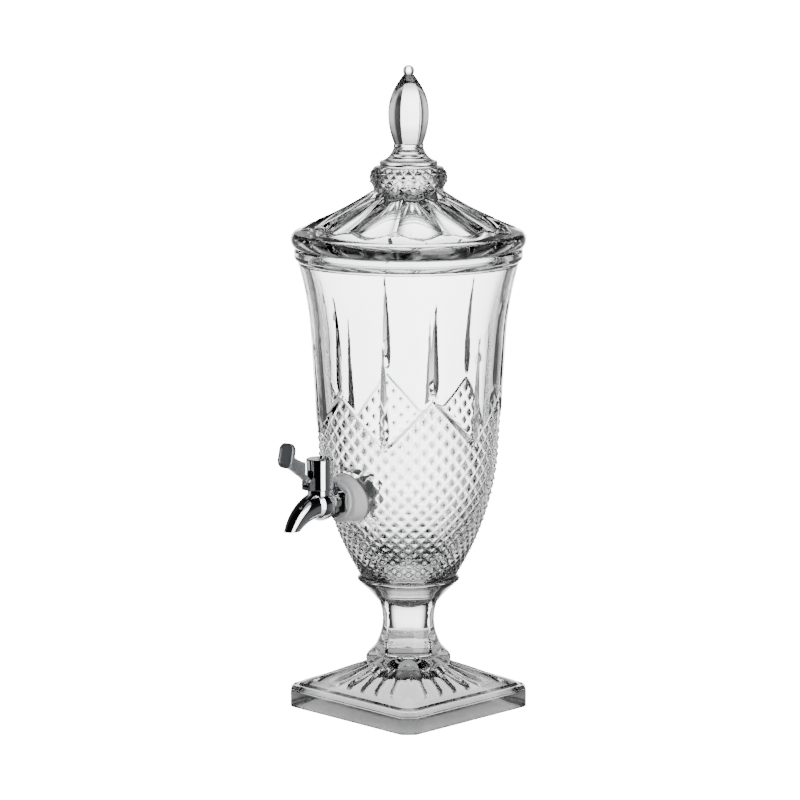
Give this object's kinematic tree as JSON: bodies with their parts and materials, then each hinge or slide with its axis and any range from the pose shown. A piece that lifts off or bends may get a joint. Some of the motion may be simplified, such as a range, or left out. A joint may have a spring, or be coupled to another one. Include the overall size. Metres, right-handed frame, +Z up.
{
  "type": "glass beverage dispenser",
  "caption": "Pressed glass drink dispenser on a square pedestal, with a fluted lift-off lid and a chrome push-lever tap that closes by itself.",
  "frame": {"origin": "middle of the plinth's underside, on the plane it stands on", "axes": "+Z up along the axis of the bowl, -Y the way the tap points, +X to the right facing along +Y"},
  "size_m": [0.1874, 0.2313, 0.519],
  "materials": {
    "clear_glass": "fire-polished",
    "clear_adhesive": "clear",
    "chrome_plate": "mirror",
    "satin_chrome": "satin",
    "soft_seal": "matte",
    "stainless_steel": "drawn",
    "nut_brass": "nickel plated"
  },
  "bodies": {
    "dispenser": {"pedestal": "clear_glass", "bond_film": "clear_adhesive", "vessel": "clear_glass", "tap_body": "chrome_plate", "outer_washer": "soft_seal", "inner_washer": "soft_seal", "clamp_nut": "nut_brass", "bonnet": "chrome_plate", "bonnet_gasket": "soft_seal", "bonnet_cap": "chrome_plate", "lever_pin": "stainless_steel", "stem_packing": "soft_seal", "return_spring": "stainless_steel"},
    "lid": {"lid": "clear_glass"},
    "lever": {"lever": "satin_chrome"},
    "valve": {"valve_stem": "stainless_steel", "seat_plug": "soft_seal"}
  },
  "joints": [
    {"name": "lid_lift", "type": "slide", "parent": "dispenser", "child": "lid", "axis": [0, 0, 1], "range_m": [0, 0.2]},
    {"name": "lever_press", "type": "hinge", "parent": "dispenser", "child": "lever", "pos_m": [0, -0.1097, 0.1991], "axis": [1, 0, 0], "range_deg": [0, 18], "stiffness_Nm_per_rad": 0.08, "springref_deg": -11.46},
    {"name": "valve_lift", "type": "slide", "parent": "dispenser", "child": "valve", "axis": [0, 0, 1], "range_m": [0, 0.0037], "deforming": ["return_spring"]}
  ],
  "couplings": [
    {"joint": "valve_lift", "follows": "lever_press", "m_per_rad": 0.0115}
  ]
}
